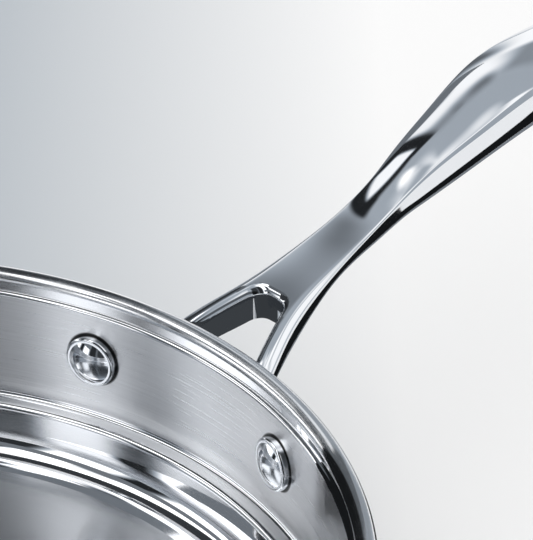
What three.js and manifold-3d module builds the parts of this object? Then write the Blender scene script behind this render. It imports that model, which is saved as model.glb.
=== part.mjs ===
// A shallow braising pan with one long cast handle, in millimetres with +Z up. The origin is the middle of the
// base's underside, the pan's axis is Z and the handle runs along +X.
import * as THREE from "three";
import { mergeVertices } from "three/addons/utils/BufferGeometryUtils.js";
import Module from "manifold-3d";

// Pan shell: one drawn sheet with a curled rim, a lid seat and a stepped wall
const RIM_RADIUS = 140;
const SHELL_SHEET = 0.9;
const PAN_DEPTH = 50.5;
const BEAD_RADIUS = 2.8;
const CURL_GAP = 0.5;
const LID_SEAT_DROP = 3.2;
const LID_SEAT_WIDTH = 1.1;
const LID_SEAT_RISE = 0.5;
const LID_SEAT_FILLET = 0.4;
const WALL_TAPER = THREE.MathUtils.degToRad(2.1);
const STEP_HEIGHT = 14.5;
const STEP_WIDTH = 5.3;
const STEP_EDGE_FILLET = 0.9;
const STEP_CREASE_FILLET = 1.4;
const LOWER_TAPER = THREE.MathUtils.degToRad(2.5);
const FLOOR_FILLET = 7;

// Base: an aluminium heat spreader inside a steel cap, bonded under the floor
const SPREADER_THICKNESS = 5;
const CAP_SHEET = 0.8;
const CAP_CORNER = 3.5;
const CAP_INSET = 1.5;
const BOND_GAP = 0.05;
const SPREADER_CLEARANCE = 0.3;

// Rivets: domed heads inside the pan, upset tails on the handle's flange
const RIVET_SPACING = 70;
const RIVET_DROP = 17.5;
const RIVET_HEAD_RADIUS = 7.5;
const RIVET_HEAD_EDGE = 2.2;
const RIVET_HEAD_DOME = 1.9;
const RIVET_SHANK_RADIUS = 3.2;
const RIVET_TAIL_RADIUS = 5.6;
const RIVET_TAIL_EDGE = 0.8;
const RIVET_TAIL_DOME = 0.9;
const SHANK_CLEARANCE = 0.3;
const SEAT_GAP = 0.15;

// Handle: one casting, from a curved flange on the wall through a forked neck to a crowned grip
const FLANGE_THICKNESS = 4;
const FLANGE_HALF_HEIGHT = 12;
const FLANGE_CHAMFER = 1.2;
const FLANGE_GAP = 0.3;
const HANDLE_REACH = 186;
const HANDLE_EDGE_RADIUS = 1.2;
const HANDLE_END_ROUND = 13.5;
const HANDLE_END_NOSE = 5;
const FORK_ANGLE = THREE.MathUtils.degToRad(19.5);
const FORK_REACH = 22.8;
const FORK_RADIUS = 5.2;
const FORK_FLAT = 1.2;
const FORK_BEVEL_DEPTH = 1.6;
const FORK_BEVEL_REACH = 0.9;
const FORK_BEVEL_ANGLE = THREE.MathUtils.degToRad(18);
const FORK_BEVEL_RADIUS = 2.6;
const FORK_BEVEL_FLAT = 4.6;
const HANG_HOLE_INSET = 22;
const HANG_HOLE_LENGTH = 20;
const HANG_HOLE_HALF_WIDTH = 4.5;
const HANG_HOLE_FLARE = 1.2;

// Sections of the handle at distances beyond the rim: half width, height of the top edge above the middle of the
// bead, depth of the side, crown of the top face and radius of the lower edge.
const HANDLE_SECTIONS = [
  { out: -9, half: 22.2, top: -10.5, depth: 10.4, crown: 0.2, under: 2.5 },
  { out: 6, half: 17.1, top: -2.2, depth: 8.8, crown: 0.2, under: 2.5 },
  { out: 20, half: 12, top: 2.7, depth: 9.1, crown: 0.2, under: 2.5 },
  { out: 40, half: 8.2, top: 7.3, depth: 5.5, crown: 0.2, under: 2.2 },
  { out: 60, half: 6.7, top: 12.9, depth: 7.2, crown: 0.3, under: 2.4 },
  { out: 78, half: 7.8, top: 20.1, depth: 11.2, crown: 1.2, under: 4 },
  { out: 95, half: 10, top: 26, depth: 13.4, crown: 2.4, under: 5 },
  { out: 112, half: 12, top: 31, depth: 14.8, crown: 3, under: 5.5 },
  { out: 145, half: 12.2, top: 32.4, depth: 13.5, crown: 3.2, under: 5.5 },
  { out: 186, half: 11.6, top: 32, depth: 10.5, crown: 2.6, under: 5 },
];

// Facets: the turned pieces and the flange share their corners, so that their gaps stay even
const TURN_FACETS = 60;
const RIVET_FACETS = 24;
const ARC_FACET = THREE.MathUtils.degToRad(34);
const DOME_FACETS = 4;
const CORNER_FACETS = 5;
const FLANGE_END_FACETS = 8;
const HANDLE_STEP = 6;
const HANDLE_END_FACETS = 7;
const TOP_FACETS = 3;
const EDGE_FACETS = 2;
const UNDER_FACETS = 3;
const UNDER_SHARE = 0.8;
const CUT_PAST = 3;

// Heights and radii that follow from the driving sizes
const shellUnderside = CAP_SHEET + SPREADER_THICKNESS + 2 * BOND_GAP;
const floorHeight = shellUnderside + SHELL_SHEET;
const stepHeight = floorHeight + STEP_HEIGHT;
const beadHeight = floorHeight + PAN_DEPTH;
const lidSeatHeight = beadHeight - LID_SEAT_DROP;
const rivetHeight = beadHeight - RIVET_DROP;
const beadInnerRadius = RIM_RADIUS - 2 * BEAD_RADIUS;
const wallTopRadius = beadInnerRadius - LID_SEAT_WIDTH;
const wallRadius = (height) => wallTopRadius - (lidSeatHeight - height) * Math.tan(WALL_TAPER);
const outerWallRadius = (height) => wallRadius(height) + SHELL_SHEET / Math.cos(WALL_TAPER);
const creaseRadius = wallRadius(stepHeight);
const stepEdgeRadius = creaseRadius - STEP_WIDTH;
const lowerFootRadius = stepEdgeRadius - STEP_HEIGHT * Math.tan(LOWER_TAPER);
const flatFloorRadius = lowerFootRadius - FLOOR_FILLET;
const capRadius = flatFloorRadius - CAP_INSET;
const rivetWallRadius = wallRadius(rivetHeight);
const rivetAzimuth = Math.asin(RIVET_SPACING / 2 / rivetWallRadius);

const steel = { color: 0xc6cbd1, metalness: 1, roughness: 0.24 };
const polishedSteel = { color: 0xd2d6db, metalness: 1, roughness: 0.08 };
const aluminium = { color: 0xb4b8bc, metalness: 1, roughness: 0.5 };

const wasm = await Module();
wasm.setup();

// Closed solids for joining and cutting
function toSolid(geometry) {
  const bare = new THREE.BufferGeometry().setAttribute("position", geometry.getAttribute("position"));
  bare.setIndex(geometry.index);
  const merged = mergeVertices(bare, 1e-4);
  const corners = merged.index.array;
  const triVerts = [];
  for (let i = 0; i < corners.length; i += 3) {
    const [a, b, c] = [corners[i], corners[i + 1], corners[i + 2]];
    if (a !== b && b !== c && c !== a) triVerts.push(a, b, c);
  }
  const mesh = new wasm.Mesh({
    numProp: 3,
    vertProperties: merged.attributes.position.array,
    triVerts: new Uint32Array(triVerts),
  });
  return new wasm.Manifold(mesh);
}

function toGeometry(solid) {
  const mesh = solid.getMesh();
  const geometry = new THREE.BufferGeometry();
  geometry.setAttribute("position", new THREE.BufferAttribute(mesh.vertProperties, 3));
  geometry.setIndex(new THREE.BufferAttribute(mesh.triVerts, 1));
  geometry.computeVertexNormals();
  return geometry;
}

function piece(name, geometry, finish) {
  const mesh = new THREE.Mesh(geometry, new THREE.MeshStandardMaterial(finish));
  mesh.name = name;
  return mesh;
}

// An arc in the profile plane that starts at a point in a direction and turns by an angle, left if positive. Each
// step has a point and the normal on the left of the direction of travel.
function arcSteps(start, direction, radius, angle) {
  const side = Math.sign(angle);
  const origin = new THREE.Vector2();
  const toCentre = direction.clone().rotateAround(origin, (side * Math.PI) / 2);
  const centre = start.clone().addScaledVector(toCentre, radius);
  const count = Math.max(2, Math.ceil(Math.abs(angle) / ARC_FACET));
  return Array.from({ length: count + 1 }, (_, step) => {
    const turned = toCentre.clone().rotateAround(origin, (angle * step) / count);
    return { point: centre.clone().addScaledVector(turned, -radius), normal: turned.multiplyScalar(side) };
  });
}

// An open path through corners of radius, height and fillet, with every filleted corner rounded.
function roundedPath(corners) {
  const points = corners.map(([radius, height]) => new THREE.Vector2(radius, height));
  const heading = (i) => points[i + 1].clone().sub(points[i]).normalize();
  const leftOf = (direction) => new THREE.Vector2(-direction.y, direction.x);
  return corners.flatMap(([, , fillet = 0], i) => {
    const last = i === corners.length - 1;
    if (i === 0 || last) return [{ point: points[i], normal: leftOf(heading(last ? i - 1 : i)) }];
    const before = heading(i - 1);
    const after = heading(i);
    const angle = Math.atan2(before.cross(after), before.dot(after));
    const start = points[i].clone().addScaledVector(before, -fillet * Math.tan(Math.abs(angle) / 2));
    return arcSteps(start, before, fillet, angle);
  });
}

// A turned piece: the profile's x is the radius and its y the height.
function turned(profile, facets = TURN_FACETS) {
  return new THREE.LatheGeometry(profile, facets).rotateX(Math.PI / 2);
}

// A sheet of even thickness turned about the axis, with the thickness laid along or against the path's normals.
function turnedSheet(path, thickness) {
  const near = path.map(({ point }) => point);
  const far = path.map(({ point, normal }) => point.clone().addScaledVector(normal, thickness));
  return turned(thickness < 0 ? [...far, ...near.reverse()] : [...near, ...far.reverse()]);
}

// A skin over rings of equal length, closed at both ends by fans to a point.
function loft(rings, startPoint, endPoint) {
  const count = rings[0].length;
  const index = [];
  for (let ring = 0; ring + 1 < rings.length; ring += 1) {
    for (let j = 0; j < count; j += 1) {
      const [a, c] = [ring * count + j, ring * count + ((j + 1) % count)];
      index.push(a, a + count, c, c, a + count, c + count);
    }
  }
  const [first, last, lastRing] = [rings.length * count, rings.length * count + 1, (rings.length - 1) * count];
  for (let j = 0; j < count; j += 1) {
    const next = (j + 1) % count;
    index.push(first, j, next, last, lastRing + next, lastRing + j);
  }
  const geometry = new THREE.BufferGeometry().setFromPoints([...rings.flat(), startPoint, endPoint]);
  return geometry.setIndex(index);
}

// The rivets' frame: X leaves the pan square to the wall, from the wall's inner face.
function rivetSeat(side) {
  const turn = new THREE.Group();
  turn.rotation.z = side * rivetAzimuth;
  const seat = new THREE.Group();
  seat.position.set(rivetWallRadius, 0, rivetHeight);
  seat.rotation.y = WALL_TAPER;
  turn.add(seat);
  turn.updateMatrixWorld(true);
  return { turn, seat };
}

function rivetBore(side) {
  const radius = RIVET_SHANK_RADIUS + SHANK_CLEARANCE;
  const length = 2 * (SHELL_SHEET + FLANGE_GAP + FLANGE_THICKNESS + CUT_PAST);
  const bore = new THREE.CylinderGeometry(radius, radius, length, RIVET_FACETS).rotateZ(-Math.PI / 2);
  return toSolid(bore.applyMatrix4(rivetSeat(side).seat.matrixWorld));
}

const cutRivetBores = (solid) => solid.subtract(rivetBore(1)).subtract(rivetBore(-1));

// The shell's cooking face runs from the middle of the floor, up the stepped wall and round the curled bead.
function panShell() {
  const wall = roundedPath([
    [0, floorHeight],
    [lowerFootRadius, floorHeight, FLOOR_FILLET],
    [stepEdgeRadius, stepHeight, SHELL_SHEET + STEP_EDGE_FILLET],
    [creaseRadius, stepHeight, STEP_CREASE_FILLET],
    [wallTopRadius, lidSeatHeight, SHELL_SHEET + LID_SEAT_FILLET],
    [beadInnerRadius, lidSeatHeight + LID_SEAT_RISE, LID_SEAT_FILLET],
    [beadInnerRadius, beadHeight],
  ]);
  const curlEnd = Math.acos((SHELL_SHEET + CURL_GAP) / BEAD_RADIUS - 1);
  const beadStart = new THREE.Vector2(beadInnerRadius, beadHeight);
  const bead = arcSteps(beadStart, new THREE.Vector2(0, 1), BEAD_RADIUS, -(Math.PI + curlEnd));
  const sheet = toSolid(turnedSheet([...wall, ...bead.slice(1)], -SHELL_SHEET));
  return piece("pan_shell", toGeometry(cutRivetBores(sheet)), steel);
}

function baseCap() {
  const outside = roundedPath([
    [0, 0],
    [capRadius, 0, CAP_CORNER],
    [capRadius, shellUnderside - BOND_GAP],
  ]);
  return piece("base_cap", turnedSheet(outside, CAP_SHEET), steel);
}

function heatSpreader() {
  const radius = capRadius - CAP_SHEET - SPREADER_CLEARANCE;
  const bottom = CAP_SHEET + BOND_GAP;
  const side = roundedPath([
    [0, bottom],
    [radius, bottom, CAP_CORNER - CAP_SHEET],
    [radius, bottom + SPREADER_THICKNESS],
  ]);
  const profile = side.map(({ point }) => point);
  return piece("heat_spreader", turned([...profile, new THREE.Vector2(0, bottom + SPREADER_THICKNESS)]), aluminium);
}

// A shallow dome on the rivet's axis, from its crown out to its edge, as steps of radius and rise.
function dome(radius, rise) {
  const sphere = (radius ** 2 + rise ** 2) / (2 * rise);
  const spread = Math.asin(radius / sphere);
  return Array.from({ length: DOME_FACETS + 1 }, (_, step) => {
    const angle = (spread * step) / DOME_FACETS;
    return [sphere * Math.sin(angle), rise - sphere * (1 - Math.cos(angle))];
  });
}

// The flat under the head clears the hollow wall at its rim, and the tail clears the flange at its middle.
function rivet(side) {
  const facetSag = rivetWallRadius * (1 - Math.cos(Math.PI / TURN_FACETS));
  const headSag = rivetWallRadius - Math.sqrt(rivetWallRadius ** 2 - RIVET_HEAD_RADIUS ** 2);
  const headSeat = -(SEAT_GAP + headSag + facetSag);
  const tailSeat = SHELL_SHEET + FLANGE_GAP + FLANGE_THICKNESS + SEAT_GAP;
  const head = dome(RIVET_HEAD_RADIUS, RIVET_HEAD_DOME);
  const tail = dome(RIVET_TAIL_RADIUS, RIVET_TAIL_DOME).reverse();
  const profile = [
    ...head.map(([radius, rise]) => [radius, headSeat - RIVET_HEAD_EDGE - rise]),
    [RIVET_HEAD_RADIUS, headSeat],
    [RIVET_SHANK_RADIUS, headSeat],
    [RIVET_SHANK_RADIUS, tailSeat],
    [RIVET_TAIL_RADIUS, tailSeat],
    ...tail.map(([radius, rise]) => [radius, tailSeat + RIVET_TAIL_EDGE + rise]),
  ].map(([radius, along]) => new THREE.Vector2(radius, along));
  const geometry = new THREE.LatheGeometry(profile, RIVET_FACETS).rotateZ(-Math.PI / 2);
  const { turn, seat } = rivetSeat(side);
  seat.add(piece(side > 0 ? "rivet_left" : "rivet_right", geometry, polishedSteel));
  return turn;
}

// The handle's section at any distance beyond the rim, smoothly between the listed ones.
const SECTION_SIZES = ["half", "top", "depth", "crown", "under"];
const sectionSizes = new THREE.CubicInterpolant(
  HANDLE_SECTIONS.map(({ out }) => out),
  HANDLE_SECTIONS.flatMap((section) => SECTION_SIZES.map((size) => section[size])),
  SECTION_SIZES.length,
);

function sectionAt(out) {
  const [half, top, depth, crown, under] = sectionSizes.evaluate(out);
  return { out, half, top: beadHeight + top, depth, crown, under };
}

// The grip's end: the plan closes on an ellipse and the thickness on a blunter nose.
function roundedEnd(section) {
  const left = HANDLE_REACH - section.out;
  const plan = Math.max(0, 1 - left / HANDLE_END_ROUND);
  const nose = Math.max(0, 1 - left / HANDLE_END_NOSE);
  const narrow = Math.sqrt(1 - plan ** 2);
  const thin = (1 - nose ** 3) ** (1 / 3);
  return {
    ...section,
    half: section.half * narrow,
    top: section.top - (section.depth * (1 - thin)) / 2,
    depth: section.depth * thin,
    crown: section.crown * narrow * thin,
  };
}

// One ring round the handle: a crowned top, crisp upper edges, upright sides and a rounded underside.
function sectionRing({ out, half, top, depth, crown, under }) {
  const edge = Math.min(HANDLE_EDGE_RADIUS, half / 2, depth / 4);
  const low = Math.min(under, half * UNDER_SHARE, depth - 2 * edge);
  const slope = Math.atan((2 * crown) / half);
  const crownEnd = half - edge * (1 - Math.sin(slope));
  const crownAt = (y) => crown * (1 - (y / half) ** 2);
  const edgeCentre = crownAt(crownEnd) - edge * Math.cos(slope);
  const right = [];
  for (let step = 0; step <= TOP_FACETS; step += 1) {
    const y = (crownEnd * step) / TOP_FACETS;
    right.push([y, crownAt(y)]);
  }
  for (let step = 1; step <= EDGE_FACETS; step += 1) {
    const angle = slope + ((Math.PI / 2 - slope) * step) / EDGE_FACETS;
    right.push([half - edge + edge * Math.sin(angle), edgeCentre + edge * Math.cos(angle)]);
  }
  for (let step = 0; step <= UNDER_FACETS; step += 1) {
    const angle = (Math.PI / 2) * (1 + step / UNDER_FACETS);
    right.push([half - low + low * Math.sin(angle), low - depth + low * Math.cos(angle)]);
  }
  right.push([0, -depth]);
  const left = right.slice(1, -1).reverse().map(([y, z]) => [-y, z]);
  return [...right, ...left].map(([y, z]) => new THREE.Vector3(RIM_RADIUS + out, y, top + z));
}

function handleBar() {
  const start = HANDLE_SECTIONS[0].out;
  const straight = HANDLE_REACH - HANDLE_END_ROUND - start;
  const steps = Math.ceil(straight / HANDLE_STEP);
  const distances = Array.from({ length: steps + 1 }, (_, step) => start + (straight * step) / steps);
  for (let step = 1; step < HANDLE_END_FACETS; step += 1) {
    const angle = (Math.PI / 2) * (step / HANDLE_END_FACETS);
    distances.push(HANDLE_REACH - HANDLE_END_ROUND * (1 - Math.sin(angle)));
  }
  const sections = distances.map((out) => roundedEnd(sectionAt(out)));
  const middle = ({ out, top, depth }) => new THREE.Vector3(RIM_RADIUS + out, 0, top - depth / 2);
  const tip = middle(sections.at(-1)).setX(RIM_RADIUS + HANDLE_REACH);
  return toSolid(loft(sections.map(sectionRing), middle(sections[0]), tip));
}

// A wedge-shaped outline in plan, wide at the pan and closed by a rounded end at a distance beyond the rim. The
// end's two corners have the given radius and stand apart by twice the given flat.
function wedgeOutline(reach, angle, radius, flat) {
  const foot = RIM_RADIUS + HANDLE_SECTIONS[0].out - CUT_PAST;
  const centre = new THREE.Vector2(RIM_RADIUS + reach - radius, flat);
  const corner = Array.from({ length: CORNER_FACETS + 1 }, (_, step) => {
    const turn = angle + ((Math.PI / 2 - angle) * step) / CORNER_FACETS;
    return new THREE.Vector2(centre.x + radius * Math.sin(turn), centre.y + radius * Math.cos(turn));
  });
  const footHalf = corner[0].y + (corner[0].x - foot) * Math.tan(angle);
  const upper = [new THREE.Vector2(foot, footHalf), ...corner];
  const lower = upper.map(({ x, y }) => new THREE.Vector2(x, -y)).reverse();
  return [...upper, ...lower];
}

// An upright cutter: each level is an outline in plan and a rule that gives its height at a distance beyond the rim.
function cutter(levels) {
  const raise = (points, height) => points.map(({ x, y }) => new THREE.Vector3(x, y, height(x - RIM_RADIUS)));
  const rings = levels.map(({ outline, height }) => raise(outline, height));
  const middleOf = (ring) => ring.reduce((sum, point) => sum.add(point), new THREE.Vector3()).divideScalar(ring.length);
  return toSolid(loft(rings, middleOf(rings[0]), middleOf(rings.at(-1))));
}

// Carries a slanting wall from one outline through another, past it by a share of the way between them.
const carryOn = (from, through, share) =>
  through.map((point, i) => point.clone().addScaledVector(point.clone().sub(from[i]), share));

const topOf = (out) => sectionAt(out).top + sectionAt(out).crown;
const undersideOf = (out) => sectionAt(out).top - sectionAt(out).depth;

// The opening between the fork's arms, with a bevel round its top edge.
function forkOpening() {
  const opening = wedgeOutline(FORK_REACH, FORK_ANGLE, FORK_RADIUS, FORK_FLAT);
  const bevel = wedgeOutline(FORK_REACH + FORK_BEVEL_REACH, FORK_BEVEL_ANGLE, FORK_BEVEL_RADIUS, FORK_BEVEL_FLAT);
  const above = carryOn(opening, bevel, CUT_PAST / FORK_BEVEL_DEPTH);
  return cutter([
    { outline: opening, height: (out) => undersideOf(out) - CUT_PAST },
    { outline: opening, height: (out) => topOf(out) - FORK_BEVEL_DEPTH },
    { outline: above, height: (out) => topOf(out) + CUT_PAST },
  ]);
}

// The slot that the pan hangs by, flared where it meets the top and the underside.
function hangHole() {
  const middle = RIM_RADIUS + HANDLE_REACH - HANG_HOLE_INSET;
  const spread = HANG_HOLE_LENGTH / 2 - HANG_HOLE_HALF_WIDTH;
  const slot = (half) => {
    const outline = new THREE.Shape();
    outline.absarc(middle + spread, 0, half, Math.PI / 2, -Math.PI / 2, true);
    outline.absarc(middle - spread, 0, half, -Math.PI / 2, (-3 * Math.PI) / 2, true);
    return outline.getPoints(CORNER_FACETS);
  };
  const straight = slot(HANG_HOLE_HALF_WIDTH);
  const flared = slot(HANG_HOLE_HALF_WIDTH + HANG_HOLE_FLARE);
  const past = carryOn(straight, flared, CUT_PAST / HANG_HOLE_FLARE);
  return cutter([
    { outline: past, height: (out) => undersideOf(out) - CUT_PAST },
    { outline: straight, height: (out) => undersideOf(out) + HANG_HOLE_FLARE },
    { outline: straight, height: (out) => topOf(out) - HANG_HOLE_FLARE },
    { outline: past, height: (out) => topOf(out) + CUT_PAST },
  ]);
}

// The flange hugs the wall's cone, chamfered along its edges, with round ends about the rivets.
function flange() {
  const inner = (height) => outerWallRadius(height) + FLANGE_GAP;
  const outer = (height) => inner(height) + FLANGE_THICKNESS;
  const [low, high] = [rivetHeight - FLANGE_HALF_HEIGHT, rivetHeight + FLANGE_HALF_HEIGHT];
  const ring = turned([
    new THREE.Vector2(inner(low), low),
    new THREE.Vector2(outer(low) - FLANGE_CHAMFER, low),
    new THREE.Vector2(outer(low), low + FLANGE_CHAMFER),
    new THREE.Vector2(outer(high), high - FLANGE_CHAMFER),
    new THREE.Vector2(outer(high) - FLANGE_CHAMFER, high),
    new THREE.Vector2(inner(high), high),
    new THREE.Vector2(inner(low), low),
  ]);
  const outline = new THREE.Shape();
  outline.absarc(RIVET_SPACING / 2, rivetHeight, FLANGE_HALF_HEIGHT, -Math.PI / 2, Math.PI / 2);
  outline.absarc(-RIVET_SPACING / 2, rivetHeight, FLANGE_HALF_HEIGHT, Math.PI / 2, (3 * Math.PI) / 2);
  const plate = new THREE.ExtrudeGeometry(outline, {
    depth: outer(high),
    bevelEnabled: false,
    curveSegments: FLANGE_END_FACETS,
  });
  const acrossTheHandle = new THREE.Matrix4().makeBasis(
    new THREE.Vector3(0, 1, 0),
    new THREE.Vector3(0, 0, 1),
    new THREE.Vector3(1, 0, 0),
  );
  return toSolid(ring).intersect(toSolid(plate.applyMatrix4(acrossTheHandle)));
}

// The space that the casting leaves for the pan's wall.
function wallSpace() {
  const radius = (height) => outerWallRadius(height) + FLANGE_GAP;
  return toSolid(
    turned([
      new THREE.Vector2(0, stepHeight),
      new THREE.Vector2(radius(stepHeight), stepHeight),
      new THREE.Vector2(radius(beadHeight), beadHeight),
      new THREE.Vector2(0, beadHeight),
    ]),
  );
}

function handle() {
  const bar = handleBar().subtract(forkOpening()).subtract(hangHole());
  const casting = bar.add(flange()).subtract(wallSpace());
  return piece("handle", toGeometry(cutRivetBores(casting)), polishedSteel);
}

const pan = new THREE.Group();
pan.add(panShell(), heatSpreader(), baseCap(), handle(), rivet(1), rivet(-1));

export default pan;
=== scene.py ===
"""A braising pan of brushed and polished steel, dressed for the camera.

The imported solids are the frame. Each piece made here stands for one of them, at the same place and size,
with the rounder surfaces and the finish that the real one has.
"""
import math
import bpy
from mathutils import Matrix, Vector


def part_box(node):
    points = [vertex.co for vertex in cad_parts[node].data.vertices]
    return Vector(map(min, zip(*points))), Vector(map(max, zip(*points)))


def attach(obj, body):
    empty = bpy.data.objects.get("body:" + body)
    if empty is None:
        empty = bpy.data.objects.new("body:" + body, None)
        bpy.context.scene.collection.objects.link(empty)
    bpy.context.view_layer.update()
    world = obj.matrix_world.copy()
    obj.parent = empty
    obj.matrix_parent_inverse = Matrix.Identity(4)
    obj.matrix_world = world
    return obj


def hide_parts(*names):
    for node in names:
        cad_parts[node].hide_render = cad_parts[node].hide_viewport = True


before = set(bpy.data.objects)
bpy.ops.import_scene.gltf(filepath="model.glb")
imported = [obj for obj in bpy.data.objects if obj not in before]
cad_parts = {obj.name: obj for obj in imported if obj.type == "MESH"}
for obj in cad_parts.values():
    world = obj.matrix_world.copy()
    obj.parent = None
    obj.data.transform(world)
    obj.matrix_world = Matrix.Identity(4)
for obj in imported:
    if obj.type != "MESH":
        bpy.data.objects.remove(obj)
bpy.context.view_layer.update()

from types import SimpleNamespace

import bmesh
import bpy
import numpy as np
from bpy.props import FloatProperty, FloatVectorProperty, PointerProperty
from bpy.types import Operator, Panel, PropertyGroup
from mathutils import Matrix

bl_info = {
    "name": "Braising Pan",
    "version": (1, 0, 0),
    "blender": (4, 5, 0),
    "location": "View3D > Sidebar > Pan",
    "description": "Surfaces and finishes of a braising pan, made around its solids",
    "category": "Add Mesh",
}

MM = 0.001

# How finely the surfaces are drawn
TURN_STEPS = 288
RIVET_STEPS = 96
FLOOR_STEPS = 96
ARC_STEP = math.radians(7)
ARC_POINTS_LEAST = 5
STRAIGHT_STEP = 3 * MM
SUPPORT = 0.25 * MM
MERGE = 0.002 * MM
SMOOTH_BELOW = math.radians(32)

# How far a piece's box may differ from the box of the solid that it stands for
BOX_MARGIN = 1.5 * MM

# Sections of the handle at distances beyond the rim, in millimetres: half width, height of the top edge
# above the middle of the bead, depth of the side, crown of the top face, radius of the lower edge, radius of
# the upper edge, width of the chamfer along the upper edge.
HANDLE_SECTIONS = MM * np.array([
    (-9, 22.5, -10.5, 10.4, 0.2, 2.5, 4.4, 0),
    (6, 17.4, -2.2, 8.8, 0.2, 3.0, 4.2, 0),
    (20, 12.2, 2.7, 9.6, 0.2, 3.6, 3.6, 0),
    (40, 8.2, 7.3, 6.0, 0.2, 3.4, 1.5, 0),
    (60, 6.7, 12.8, 8.2, 0.4, 4.8, 0.8, 0),
    (70, 6.9, 16.8, 10.2, 0.9, 5.8, 0.7, 0.3),
    (78, 7.8, 20.3, 12.5, 1.4, 7.0, 0.6, 0.6),
    (95, 10, 26, 15.2, 2.3, 9.0, 0.5, 1.1),
    (112, 12, 31, 17.0, 3, 10.5, 0.5, 1.5),
    (145, 12.2, 32.4, 15.8, 3.2, 10.5, 0.5, 1.7),
    (186, 11.6, 32, 12.1, 2.6, 8.5, 0.5, 1.5),
])
HANDLE_STEP = 1 * MM
END_STEPS = 24
TOP_POINTS = 13
EDGE_POINTS = 7
SIDE_POINTS = 6
UNDER_POINTS = 11
BOTTOM_POINTS = 7
CORNER_POINTS = 15
WEDGE_POINTS = 24
LIP_POINTS = 10
DOME_POINTS = 24
SPINE_POINTS = 48
FLANGE_POINTS = 7
FLANGE_EDGE_POINTS = 9
CONE_POINTS = 5

# The largest share of the handle's half width that the radius of its lower edge takes
UNDER_SHARE = 0.92

# An opening's lip: where its turn ends, and the share of its width over which the cutter leaves the surface
LIP_END = math.radians(80)
LIP_LEAVE = 0.06

# How far a cutter goes past what it cuts, and a bore's half length in thicknesses of the flange
CUT_PAST = 3 * MM
BORE_REACH = 4

# Painted shade in a ring round each rivet's head on the wall, standing for its contact shadow: its width, and
# the share of the wall's colour that is left
RIVET_SHADE_WIDTH = 0.9 * MM
RIVET_SHADE_LEFT = 0.06

# Brushed steel: how far the sheen spreads across the lines, how often they change round the pan, the height
# of their ridges, the clouds' scale and share, and how noise maps to roughness and to tone
BRUSH_SPREAD = 0.9
BRUSH_AROUND = 2.5
RIDGE_HEIGHT = 0.05 * MM
CLOUD_SCALE = 40
CLOUD_SHARE = 0.3
BRUSH_NOISE = (0.35, 1.0)
BRUSH_ROUGHNESS = (0.75, 1.3)
LINE_NOISE = (0.2, 0.8)
LINE_TONE = (0.9, 1.05)

# Polished steel: the haze's scale, and how it maps to roughness and to tone
HAZE_SCALE = 90
HAZE_NOISE = (0.3, 0.7)
HAZE_ROUGHNESS = (0.6, 1.5)
HAZE_TONE = (0.98, 1.0)

# The floor: radii of its inner rings, thickness, finish, the direction across the picture in plan, and the
# stretch along it over which the floor goes from a painted shade on the left to pale
FLOOR_BANDS = (0.5, 1.5)
FLOOR_THICKNESS = 0.02
PAPER_ROUGHNESS = 0.9
PAPER_GLOSS = 0.1
ACROSS_PICTURE = (0.70, -0.71, 0)
FLOOR_SHADE_RAMP = (0.02, 0.15)

# The elevation at which the sky reaches its upper brightness, and the camera's sensor in millimetres
SKY_TOP = math.radians(60)
SENSOR_WIDTH = 36

# Sockets of a mix node for its two colours and for the mixed one
MIX_FIRST, MIX_SECOND, MIX_RESULT = 6, 7, 2

# Zones of the shell's finish, in the order of its materials
SPUN, BRUSHED, POLISHED, SATIN, BEAD = range(5)

# Soft boxes and dark screens round the pan, which show in reflections alone, later ones in front: azimuth and
# elevation of the middle, half width, half height and softness of the edge, in degrees, then brightness.
STUDIO_CARDS = (
    (30, 20, 20, 32, 6, 0.33),
    (7, 42, 15, 10, 3, 0.02),
    (46, 8, 8, 16, 4, 1.1),
    (66, 4, 14, 15, 5, 0.15),
    (65, 31, 14, 13, 9, 1.1),
    (67, 51, 8, 6, 6, 0.22),
    (80, 15, 8, 13, 2, 0.05),
    (88, 20, 11, 36, 2, 0.02),
    (82, 42, 6.5, 14, 1.5, 0.02),
    (100, 20, 6, 35, 3, 0.03),
    (144, 60, 38, 13, 5, 1.1),
    (122, 28, 20, 40, 4, 1.8),
    (151, 24, 6, 24, 3, 0.02),
    (167, 35, 9, 35, 4, 1.6),
    (-172, 20, 11, 40, 4, 0.03),
    (-145, 20, 16, 40, 5, 0.05),
    (91, 43.5, 7.5, 7, 1.5, 1.1),
    (95, 80, 9, 10, 8, 0.85),
    (-90, 15, 30, 20, 6, 0.45),
    (-35, 34, 22, 22, 5, 1.1),
    (-85, 57, 25, 18, 5, 1.1),
    (-50, 72, 30, 9, 6, 1.15),
    (0, 88, 180, 4, 4, 1.0),
)
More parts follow.
